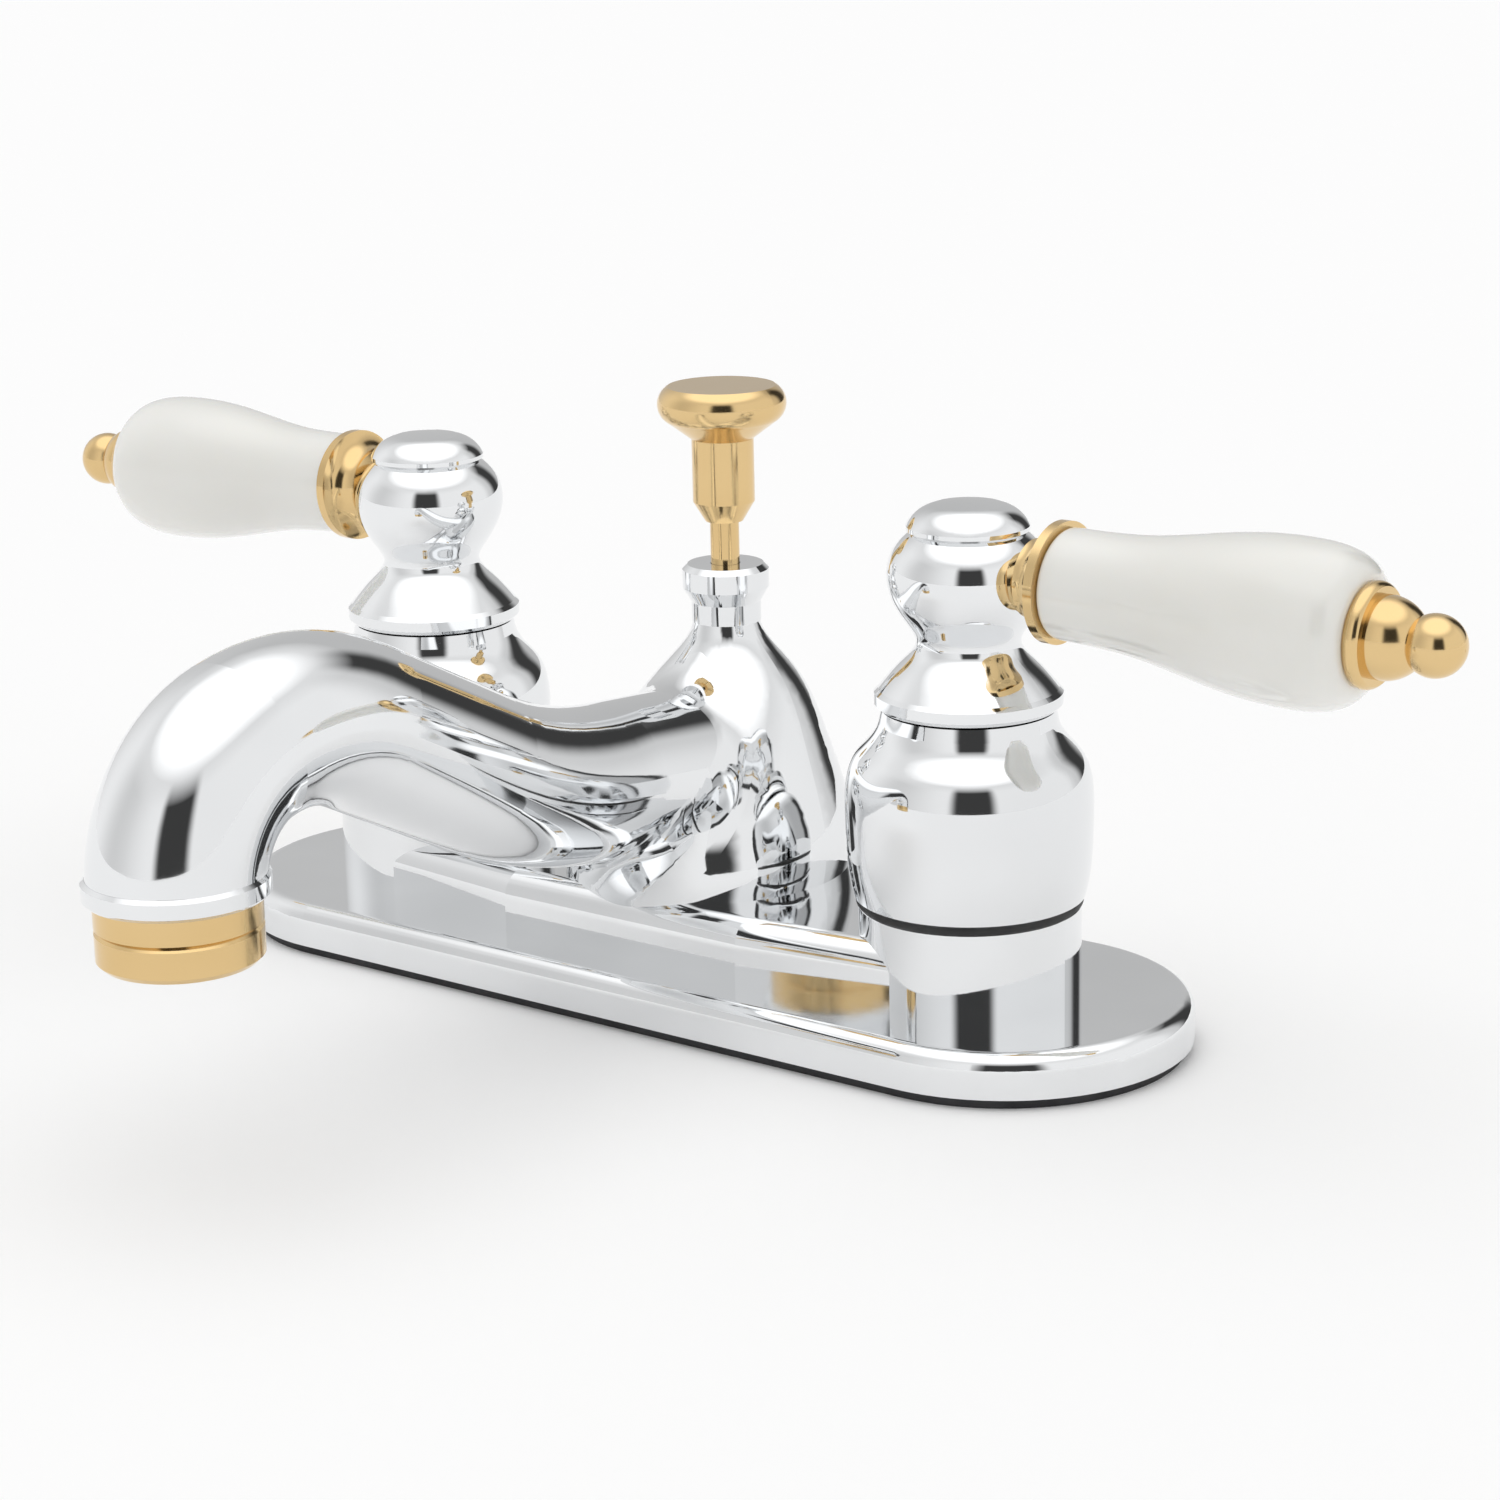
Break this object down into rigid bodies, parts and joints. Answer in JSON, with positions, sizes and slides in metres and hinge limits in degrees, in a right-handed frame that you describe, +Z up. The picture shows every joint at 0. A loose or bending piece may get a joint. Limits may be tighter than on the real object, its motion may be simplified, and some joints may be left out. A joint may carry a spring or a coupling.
{
  "type": "centerset bathroom faucet",
  "caption": "Two-handle centerset faucet: cast chrome body with swan-neck spout, white porcelain quarter-turn levers, brass trim and a lift rod.",
  "frame": {"origin": "on the deck plane, midway between the two valve axes", "axes": "+X to the right of the user who faces the faucet, along the deck plate; -Y towards the user, along the spout; +Z up"},
  "size_m": [0.2552, 0.1475, 0.16],
  "materials": {
    "chrome": "polished",
    "polished_brass": "polished",
    "raw_brass": "turned",
    "white_porcelain": "glazed",
    "disc_ceramic": "lapped",
    "steel_mesh": "satin",
    "screw_steel": "satin",
    "white_plastic": "moulded",
    "shank_plastic": "moulded",
    "gasket_rubber": "matte",
    "seal_rubber": "matte"
  },
  "bodies": {
    "faucet": {"aerator_flow_disc": "white_plastic", "aerator_housing": "polished_brass", "aerator_mesh": "steel_mesh", "aerator_washer": "seal_rubber", "body": "chrome", "deck_gasket": "gasket_rubber", "left_bell": "chrome", "left_cartridge_body": "raw_brass", "left_fixed_disc": "disc_ceramic", "left_inlet_shank": "raw_brass", "left_seat_seal": "seal_rubber", "left_shank_locknut": "shank_plastic", "left_shank_washer": "shank_plastic", "right_bell": "chrome", "right_cartridge_body": "raw_brass", "right_fixed_disc": "disc_ceramic", "right_inlet_shank": "raw_brass", "right_seat_seal": "seal_rubber", "right_shank_locknut": "shank_plastic", "right_shank_washer": "shank_plastic"},
    "left_handle": {"left_moving_disc": "disc_ceramic", "left_cartridge_stem": "raw_brass", "left_stem_ring": "seal_rubber", "left_handle_hub": "chrome", "left_handle_cap": "chrome", "left_handle_screw": "screw_steel", "left_lever_ferrule": "polished_brass", "left_lever_grip": "white_porcelain", "left_lever_finial": "polished_brass", "left_lever_tie_rod": "screw_steel"},
    "right_handle": {"right_moving_disc": "disc_ceramic", "right_cartridge_stem": "raw_brass", "right_stem_ring": "seal_rubber", "right_handle_hub": "chrome", "right_handle_cap": "chrome", "right_handle_screw": "screw_steel", "right_lever_ferrule": "polished_brass", "right_lever_grip": "white_porcelain", "right_lever_finial": "polished_brass", "right_lever_tie_rod": "screw_steel"},
    "lift_rod": {"lift_rod": "polished_brass", "lift_knob": "polished_brass"}
  },
  "joints": [
    {"name": "left_handle_turn", "type": "hinge", "parent": "faucet", "child": "left_handle", "pos_m": [-0.0508, 0, 0.06], "axis": [0, 0, 1], "range_deg": [0, 90]},
    {"name": "right_handle_turn", "type": "hinge", "parent": "faucet", "child": "right_handle", "pos_m": [0.0508, 0, 0.06], "axis": [0, 0, 1], "range_deg": [-90, 0]},
    {"name": "lift_rod_slide", "type": "slide", "parent": "faucet", "child": "lift_rod", "axis": [0, 0, 1], "range_m": [-0.006, 0.018]}
  ]
}
